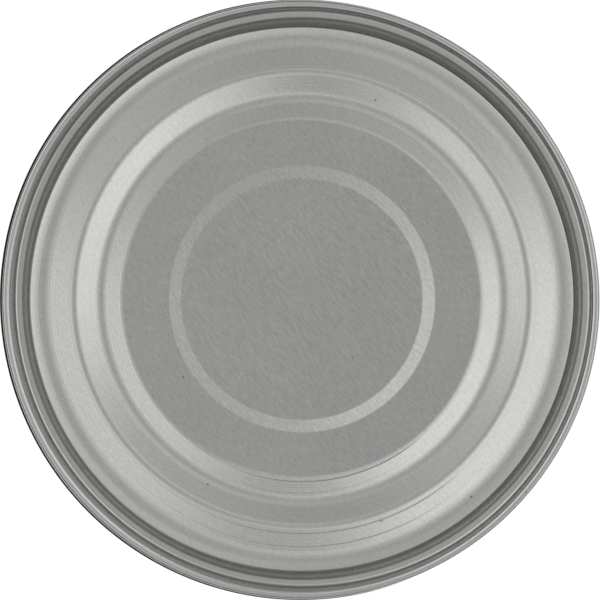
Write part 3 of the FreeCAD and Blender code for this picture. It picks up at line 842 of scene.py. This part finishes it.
def plate_between(loops, level, thickness):
    """A flat plate inside the first loop and outside the others."""
    flat = bmesh.new()
    for loop in loops:
        ring = [flat.verts.new((x * MM, y * MM, (level - thickness / 2) * MM)) for x, y in loop]
        for a, b in zip(ring, ring[1:] + ring[:1]):
            flat.edges.new((a, b))
    bmesh.ops.triangle_fill(flat, edges=flat.edges[:], use_beauty=True)
    raised = bmesh.ops.extrude_face_region(flat, geom=flat.faces[:])
    lifted = [item for item in raised["geom"] if isinstance(item, bmesh.types.BMVert)]
    bmesh.ops.translate(flat, verts=lifted, vec=(0, 0, thickness * MM))
    bmesh.ops.recalc_face_normals(flat, faces=flat.faces[:])
    mesh = bpy.data.meshes.new("plate")
    flat.to_mesh(mesh)
    flat.free()
    return mesh


def circle(radius, x, count=72):
    """Points round a circle centred on the X axis."""
    return [(x + radius * math.cos(math.tau * i / count), radius * math.sin(math.tau * i / count))
            for i in range(count)]


def tab_outline(inset):
    """The outline of the ring pull, moved inwards: the ring, its neck and its nose, with eased corners."""
    ring, neck, nose, tip = RING_OUTSIDE - inset, NECK_HALF - inset, NOSE_HALF - inset, NOSE_X - inset
    start = math.asin(neck / ring)
    points = [(RING_X + ring * math.cos(a), ring * math.sin(a))
              for a in np.linspace(start, math.tau - start, 60)]
    side = [(18.0, neck - 0.1), (24.0, (neck + nose) / 2), (31.2, nose), (tip, nose - 1.2)]
    points += [(x, -y) for x, y in side] + side[::-1]
    for _ in range(3):
        eased = []
        for (x0, y0), (x1, y1) in zip(points, points[1:] + points[:1]):
            for share in (0.25, 0.75):
                eased.append((x0 + share * (x1 - x0), y0 + share * (y1 - y0)))
        points = eased
    return points[::2]


class BALLCAN_OT_tear_panel(bpy.types.Operator):
    """Adds the tear panel with its finger well and rivet, and finishes the tongue that the rivet holds"""

    bl_idname = "ball_can.tear_panel"
    bl_label = "Tear Panel"

    def execute(self, context):
        metal = tinplate(*TOP_METAL)
        plate = context.scene.ball_can_sizes.end_plate / MM
        surface = CAN_HEIGHT - PANEL_DEPTH
        grip = surface + TONGUE_THICKNESS
        head = grip + 0.35
        rivet_path = [
            (0, head - 0.14, 0),
            (0.9, head - 0.12, 0.3),
            (1.3, head, 0.3),
            (2.4, head - 0.03, 0.18),
            (2.6, grip + 0.06, 0.1),
            (1.62, grip, 0),
            (1.60, surface - plate, 0),
            (0, surface - plate, 0),
        ]
        rivet = lathe(rounded(rivet_path, support=0.03), metal, segments=64)
        rivet.transform(Matrix.Translation((RIVET_X * MM, 0, 0)))
        mesh = joined([tear_panel_mesh(plate), rivet], metal)
        add_piece("scored_panel", mesh, "tear_panel", ["tear_panel"])
        dress("tab_tongue", metal)
        return {"FINISHED"}


class BALLCAN_OT_pull_tab(bpy.types.Operator):
    """Adds the ring pull: a thin web with its edges rolled under, round the finger hole and along the nose"""

    bl_idname = "ball_can.pull_tab"
    bl_label = "Pull Tab"

    def execute(self, context):
        metal = tinplate(*TOP_METAL)
        level = TAB_LOW + TAB_ROLL
        edge = tab_outline(TAB_ROLL)
        finger_hole = circle(RING_INSIDE + HOLE_ROLL, RING_X)
        tongue_hole = circle(TONGUE_HOLE + TONGUE_ROLL, RIVET_X)
        meshes = [
            bead_along(edge, TAB_ROLL, level),
            bead_along(finger_hole, HOLE_ROLL, level, 12),
            bead_along(tongue_hole, TONGUE_ROLL, level + WEB_LIFT, 10),
            plate_between([edge, finger_hole, tongue_hole], level + WEB_LIFT, WEB_THICKNESS),
        ]
        add_piece("ring_pull", joined(meshes, metal), "pull_tab", ["pull_tab"])
        return {"FINISHED"}


class BALLCAN_OT_overcap(bpy.types.Operator):
    """Adds the overcap that pushes on over the top seam"""

    bl_idname = "ball_can.overcap"
    bl_label = "Overcap"

    def execute(self, context):
        top, under = CAN_HEIGHT + CAP_RISE, CAN_HEIGHT + CAP_RISE - CAP_THICKNESS
        inside, bead = SEAM_RADIUS + CAP_CLEARANCE, CAN_HEIGHT - CAP_BEAD_DROP
        outside = inside + CAP_WALL
        path = [
            (0, top - 0.32, 0),
            (0.9, top - 0.32, 0.15),
            (1.3, top - 0.12, 0.2),
            (30.0, top - 0.12, 0.6),
            (30.7, top, 0.6),
            (34.8, top, 0.3),
            (35.0, top + 1.6, 0.4),
            (36.0, top + 1.6, 0.4),
            (36.2, top, 0.3),
            (outside, top, 0.9),
            (outside, CAP_HEM + 1.35, 0.3),
            (outside + 0.35, CAP_HEM + 1.0, 0.3),
            (outside + 0.35, CAP_HEM, 0.2),
            (inside, CAP_HEM, 0.2),
            (inside, bead - CAP_BEAD_HALF, 0),
            (inside - CAP_BEAD_REACH, bead, 0),
            (inside, bead + CAP_BEAD_HALF, 0),
            (inside, under, 0.3),
            (0, under, 0),
        ]
        mesh = lathe(rounded(path), polyethylene())
        add_piece("push_on_cap", mesh, "overcap", ["overcap"])
        return {"FINISHED"}


def nap_tree():
    """Short bent fibres standing up all over the outside of a felt panel."""
    tree, given, out = add_tree("Nap", [
        ("Fibres per square metre", "NodeSocketFloat", 1.8e6),
        ("Length", "NodeSocketFloat", 0.00045),
        ("Width", "NodeSocketFloat", 0.00007),
        ("Centre", "NodeSocketVector", (0, 0, 0)),
        ("Seed", "NodeSocketInt", 0),
        ("Material", "NodeSocketMaterial", None),
    ])
    panel = given.outputs["Geometry"]
    position = add_node(tree, "GeometryNodeInputPosition").outputs[0]
    arm = add_node(tree, "ShaderNodeVectorMath", {0: position, 1: given.outputs["Centre"]},
                   operation="SUBTRACT")
    outwards = add_node(tree, "ShaderNodeVectorMath", {0: arm.outputs[0]}, operation="NORMALIZE")
    normal = add_node(tree, "GeometryNodeInputNormal").outputs[0]
    facing = add_node(tree, "ShaderNodeVectorMath", {0: outwards.outputs[0], 1: normal},
                      operation="DOT_PRODUCT")
    outside = add_node(tree, "ShaderNodeMath", {0: facing.outputs["Value"], 1: 0.7}, operation="GREATER_THAN")
    scattered = add_node(tree, "GeometryNodeDistributePointsOnFaces", {
        "Mesh": panel, "Selection": outside.outputs[0],
        "Density": given.outputs["Fibres per square metre"], "Seed": given.outputs["Seed"]})
    strip = add_node(tree, "GeometryNodeMeshGrid", {
        "Size X": given.outputs["Width"], "Size Y": given.outputs["Length"],
        "Vertices X": 2, "Vertices Y": 3})
    split = add_node(tree, "ShaderNodeSeparateXYZ", {0: position})
    half = add_node(tree, "ShaderNodeMath", {0: given.outputs["Length"], 1: 0.4}, operation="MULTIPLY")
    along = add_node(tree, "ShaderNodeMath", {0: split.outputs[1], 1: half.outputs[0]}, operation="ADD")
    share = add_node(tree, "ShaderNodeMath", {0: along.outputs[0], 1: given.outputs["Length"]},
                     operation="DIVIDE")
    bend = add_node(tree, "ShaderNodeMath", {0: share.outputs[0], 1: along.outputs[0]}, operation="MULTIPLY")
    curved = add_node(tree, "ShaderNodeCombineXYZ", {
        0: split.outputs[0], 1: bend.outputs[0], 2: along.outputs[0]})
    fibre = add_node(tree, "GeometryNodeSetPosition", {
        "Geometry": strip.outputs["Mesh"], "Position": curved.outputs[0]})
    lean = add_node(tree, "FunctionNodeRandomValue", {
        0: (-0.9, -0.9, 0), 1: (0.9, 0.9, math.tau), "Seed": given.outputs["Seed"]}, data_type="FLOAT_VECTOR")
    size = add_node(tree, "FunctionNodeRandomValue", {2: 0.5, 3: 1.2, "Seed": given.outputs["Seed"]},
                    data_type="FLOAT")
    planted = add_node(tree, "GeometryNodeInstanceOnPoints", {
        "Points": scattered.outputs["Points"], "Instance": fibre.outputs[0],
        "Rotation": scattered.outputs["Rotation"], "Scale": size.outputs[1]})
    leaning = add_node(tree, "GeometryNodeRotateInstances", {
        "Instances": planted.outputs[0], "Rotation": lean.outputs[0]})
    both = add_node(tree, "GeometryNodeJoinGeometry")
    tree.links.new(leaning.outputs[0], both.inputs[0])
    tree.links.new(panel, both.inputs[0])
    real = add_node(tree, "GeometryNodeRealizeInstances", {0: both.outputs[0]})
    made = add_node(tree, "GeometryNodeSetMaterial", {
        "Geometry": real.outputs[0], "Material": given.outputs["Material"]})
    tree.links.new(made.outputs[0], out.inputs[0])
    return tree


def felt_panel(node, centre):
    """A felt panel's own mesh, finer and true to the sphere, its edges rolled down towards the seam."""
    panel = bmesh.new()
    panel.from_mesh(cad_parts[node].data)
    bmesh.ops.remove_doubles(panel, verts=panel.verts, dist=1e-6)
    bmesh.ops.subdivide_edges(panel, edges=panel.edges[:], cuts=1, use_grid_fill=True)
    bmesh.ops.triangulate(panel, faces=panel.faces[:])
    outer = [v for v in panel.verts if (v.co - centre).length > FELT_FACE]
    for vert in outer:
        vert.co = centre + (vert.co - centre).normalized() * FELT_BASE
    rim = [v for v in outer
           if any((e.other_vert(v).co - centre).length < FELT_EDGE for e in v.link_edges)]
    tree = KDTree(len(rim))
    for number, vert in enumerate(rim):
        tree.insert(vert.co, number)
    tree.balance()
    for vert in outer:
        near = max(0.0, 1 - tree.find(vert.co)[2] / FELT_ROLL_WIDTH)
        vert.co = centre + (vert.co - centre) * (1 - FELT_ROLL_DROP * near * near)
    for face in panel.faces:
        face.smooth = True
    mesh = bpy.data.meshes.new("felt")
    panel.to_mesh(mesh)
    panel.free()
    return mesh


class BALLCAN_OT_balls(bpy.types.Operator):
    """Adds the napped felt panels of the three balls and finishes their cores and seams"""

    bl_idname = "ball_can.balls"
    bl_label = "Balls"

    def execute(self, context):
        colours = context.scene.ball_can_colours
        felt = ball_felt()
        core = moulded_rubber("core rubber", colours.rubber, 1.0)
        seam = moulded_rubber("seam rubber", colours.seam, 0.6)
        nap = nap_tree()
        for number in (1, 2, 3):
            corners = [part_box(f"ball_{number}_core_half_{half}") for half in "ab"]
            low = min(corner[0].z for corner in corners)
            high = max(corner[1].z for corner in corners)
            centre = Vector((0, 0, (low + high) / 2))
            for order, half in enumerate("ab"):
                node = f"ball_{number}_felt_{half}"
                mesh = run_tree(felt_panel(node, centre), nap, {
                    "Length": context.scene.ball_can_sizes.nap,
                    "Centre": centre,
                    "Seed": 10 * number + order,
                    "Material": felt,
                })
                add_piece(f"napped_panel_{number}{half}", mesh, f"ball_{number}", [node])
                dress(f"ball_{number}_core_half_{half}", core)
            dress(f"ball_{number}_seam", seam)
        return {"FINISHED"}


# ---------------------------------------------------------------- the studio

# The light tent's strengths: at its centre, and for each ring the degrees off the axis where it begins and is
# full, and its eight panels from the -X side towards +Y.
TENT_CENTRE = 0.625
TENT_RINGS = (
    (8, 24, (0.94, 0.91, 0.96, 1.20, 1.13, 1.00, 0.78, 0.82)),
    (26, 38, (1.42, 1.40, 0.48, 1.52, 1.50, 0.74, 0.59, 0.80)),
    (50, 66, (1.00, 1.28, 0.62, 0.22, 0.00, 0.02, 0.13, 0.52)),
)
TENT_TOP = 2.0
TENT_ABOVE = 0.60
# The rim just fills the frame: half the view's width over the rim's radius.
RIM_SHARE = 0.999


def studio_world():
    """A light tent of eight panels round the can's axis, in three rings, over a duller centre where the
    camera stands. Above the floor it is even."""
    world = bpy.data.worlds.new("studio")
    world.use_nodes = True
    tree = world.node_tree
    tree.nodes.clear()
    ray = add_node(tree, "ShaderNodeTexCoord").outputs["Generated"]
    unit = add_node(tree, "ShaderNodeVectorMath", {0: ray}, operation="NORMALIZE").outputs[0]
    split = add_node(tree, "ShaderNodeSeparateXYZ", {0: unit}).outputs
    mirrored = add_node(tree, "ShaderNodeMath", {0: split[0], 1: -1}, operation="MULTIPLY").outputs[0]
    around = add_node(tree, "ShaderNodeMath", {0: split[1], 1: mirrored}, operation="ARCTAN2").outputs[0]
    turns = add_node(tree, "ShaderNodeMath", {0: around, 1: 1 / math.tau}, operation="MULTIPLY").outputs[0]
    share = add_node(tree, "ShaderNodeMath", {0: turns}, operation="FRACT").outputs[0]
    depth = add_node(tree, "ShaderNodeMath", {0: split[2], 1: -1}, operation="MULTIPLY").outputs[0]
    off_axis = add_node(tree, "ShaderNodeMath", {0: depth}, operation="ARCCOSINE").outputs[0]
    level = TENT_CENTRE
    for start, end, panels in TENT_RINGS:
        ramp = add_node(tree, "ShaderNodeValToRGB", {0: share})
        stops = ramp.color_ramp.elements
        ramp.color_ramp.interpolation = "EASE"
        for number in range(1, len(panels)):
            stops.new(number / len(panels))
        for stop, strength in zip(stops, (*panels, panels[0])):
            stop.color = (*[strength / TENT_TOP] * 3, 1)
        ring = add_node(tree, "ShaderNodeMath", {0: ramp.outputs[0], 1: TENT_TOP},
                        operation="MULTIPLY").outputs[0]
        blend = add_node(tree, "ShaderNodeMapRange", {
            "Value": off_axis, "From Min": math.radians(start), "From Max": math.radians(end)},
            interpolation_type="SMOOTHSTEP").outputs[0]
        level = add_node(tree, "ShaderNodeMix", {0: blend, 2: level, 3: ring}).outputs[0]
    up = add_node(tree, "ShaderNodeMath", {0: split[2], 1: 0}, operation="GREATER_THAN").outputs[0]
    value = add_node(tree, "ShaderNodeMix", {0: up, 2: level, 3: TENT_ABOVE}).outputs[0]
    background = add_node(tree, "ShaderNodeBackground", {"Strength": value})
    out = tree.nodes.new("ShaderNodeOutputWorld")
    tree.links.new(background.outputs[0], out.inputs[0])
    return world


def ring_sheet(name, inside, outside, z, material, shift=0.0, segments=256):
    """A flat sheet, facing up, with a round hole whose centre may be shifted along X."""
    mesh = bpy.data.meshes.new(name)
    angles = [math.tau * i / segments for i in range(segments)]
    verts = [(shift + r * math.cos(a), r * math.sin(a), z) for r in (inside, outside) for a in angles]
    faces = [(i, i + segments, (i + 1) % segments + segments, (i + 1) % segments) for i in range(segments)]
    mesh.from_pydata(verts, [], faces)
    mesh.materials.append(material)
    sheet = bpy.data.objects.new(name, mesh)
    bpy.context.scene.collection.objects.link(sheet)
    return sheet


def add_softbox(name, place, target, size, power):
    """A soft lamp of a given width and height, turned towards a point."""
    lamp = bpy.data.lights.new(name, "AREA")
    lamp.shape = "RECTANGLE"
    lamp.size, lamp.size_y = size
    lamp.energy = power
    holder = bpy.data.objects.new(name, lamp)
    holder.location = place
    holder.rotation_euler = (Vector(target) - Vector(place)).to_track_quat("-Z", "Y").to_euler()
    bpy.context.scene.collection.objects.link(holder)


def floor_paper():
    """Uncoated paper: matt, with a faint mottle of about 1 mm from its fibres."""
    material, tree, shader = new_material("paper floor")
    floor = bpy.context.scene.ball_can_studio.floor
    place = add_node(tree, "ShaderNodeTexCoord").outputs["Object"]
    fibre = add_node(tree, "ShaderNodeTexNoise", {"Vector": place, "Scale": 900, "Detail": 3})
    tone = add_node(tree, "ShaderNodeMapRange", {"Value": fibre.outputs[0], "To Min": 0.97, "To Max": 1})
    colour = add_node(tree, "ShaderNodeVectorMath", {0: tuple(floor[:3]), "Scale": tone.outputs[0]},
                      operation="SCALE")
    tree.links.new(colour.outputs[0], shader.inputs["Base Color"])
    shader.inputs["Roughness"].default_value = 0.9
    return material


def add_surround():
    """Two sheets under the floor, for a camera below it: a near-black sheet that paints a shadow line round
    the rim, widest on the +X side and gone on the -X side, and a white surround."""
    rim = SEAM_RADIUS * MM
    # Painted shadow: a near-black matt sheet just under the floor that shows as a dark line beside the rim
    # from below.
    shade, _, shader = new_material("shadow gap")
    shader.inputs["Base Color"].default_value = linear("#0E0E0E")
    shader.inputs["Roughness"].default_value = 1
    ring_sheet("painted_shadow_line", rim - 0.00006, 0.045, -0.0001, shade, shift=-0.00008)
    glow, _, shader = new_material("lit backdrop")
    shader.inputs["Base Color"].default_value = (0, 0, 0, 1)
    shader.inputs["Specular IOR Level"].default_value = 0
    shader.inputs["Emission Color"].default_value = (1, 1, 1, 1)
    shader.inputs["Emission Strength"].default_value = 1.05
    ring_sheet("backdrop", rim + 0.00002, 0.5, -0.0002, glow, shift=0.00010)


def add_camera(studio):
    """A camera under the base, as far off as makes the rim just fill the frame."""
    lens = bpy.data.cameras.new("camera")
    lens.lens = studio.lens / MM
    camera = bpy.data.objects.new("camera", lens)
    half_view = math.atan(lens.sensor_width / 2 / lens.lens)
    distance = SEAM_RADIUS * MM * RIM_SHARE / math.tan(half_view)
    side, off = studio.tilt_side, studio.tilt
    back = Vector((-math.cos(side) * math.sin(off), math.sin(side) * math.sin(off), -math.cos(off)))
    camera.location = back * distance
    right = Vector((0, 1, 0)).cross(back).normalized()
    camera.rotation_euler = Matrix((right, back.cross(right), back)).transposed().to_euler()
    bpy.context.scene.collection.objects.link(camera)
    bpy.context.scene.camera = camera


class BALLCAN_OT_studio(bpy.types.Operator):
    """Adds the pale floor the can stands through, the soft lights and the camera under the base"""

    bl_idname = "ball_can.studio"
    bl_label = "Studio"

    def execute(self, context):
        context.scene.world = studio_world()
        context.scene.view_settings.view_transform = "Standard"
        ring_sheet("floor", SEAM_RADIUS * MM + 0.00006, 4.0, 0.0, floor_paper())
        add_surround()
        middle = (0, 0, CAN_HEIGHT * MM / 2)
        add_softbox("key_light", (-0.9, -1.1, 1.2), middle, (1.5, 1.5), 16)
        add_softbox("fill_light", (1.3, -0.5, 0.8), middle, (1.2, 1.4), 4)
        add_softbox("back_light", (0.2, 1.4, 1.2), middle, (1.5, 1.2), 5)
        add_camera(context.scene.ball_can_studio)
        return {"FINISHED"}


class BALLCAN_PT_panel(bpy.types.Panel):
    """Lists the can's sizes, colours and pieces in the sidebar"""

    bl_idname = "BALLCAN_PT_panel"
    bl_label = "Tennis Ball Can"
    bl_space_type = "VIEW_3D"
    bl_region_type = "UI"
    bl_category = "Ball Can"

    def draw(self, context):
        layout = self.layout
        for group in (context.scene.ball_can_sizes, context.scene.ball_can_colours,
                      context.scene.ball_can_studio):
            box = layout.box()
            for name in group.__annotations__:
                box.prop(group, name)
        for operator in OPERATORS:
            layout.operator(operator.bl_idname)


OPERATORS = (
    BALLCAN_OT_bottom_end,
    BALLCAN_OT_can_body,
    BALLCAN_OT_top_end_ring,
    BALLCAN_OT_seam_compound,
    BALLCAN_OT_tear_panel,
    BALLCAN_OT_pull_tab,
    BALLCAN_OT_overcap,
    BALLCAN_OT_balls,
    BALLCAN_OT_studio,
)
CLASSES = (BallCanSizes, BallCanColours, BallCanStudio, *OPERATORS, BALLCAN_PT_panel)


def register():
    for cls in CLASSES:
        bpy.utils.register_class(cls)
    bpy.types.Scene.ball_can_sizes = PointerProperty(type=BallCanSizes)
    bpy.types.Scene.ball_can_colours = PointerProperty(type=BallCanColours)
    bpy.types.Scene.ball_can_studio = PointerProperty(type=BallCanStudio)


def unregister():
    del bpy.types.Scene.ball_can_sizes
    del bpy.types.Scene.ball_can_colours
    del bpy.types.Scene.ball_can_studio
    for cls in reversed(CLASSES):
        bpy.utils.unregister_class(cls)


def main():
    register()
    bpy.ops.ball_can.bottom_end()
    bpy.ops.ball_can.can_body()
    bpy.ops.ball_can.top_end_ring()
    bpy.ops.ball_can.seam_compound()
    bpy.ops.ball_can.tear_panel()
    bpy.ops.ball_can.pull_tab()
    bpy.ops.ball_can.overcap()
    bpy.ops.ball_can.balls()
    bpy.ops.ball_can.studio()


if __name__ == "__main__":
    main()
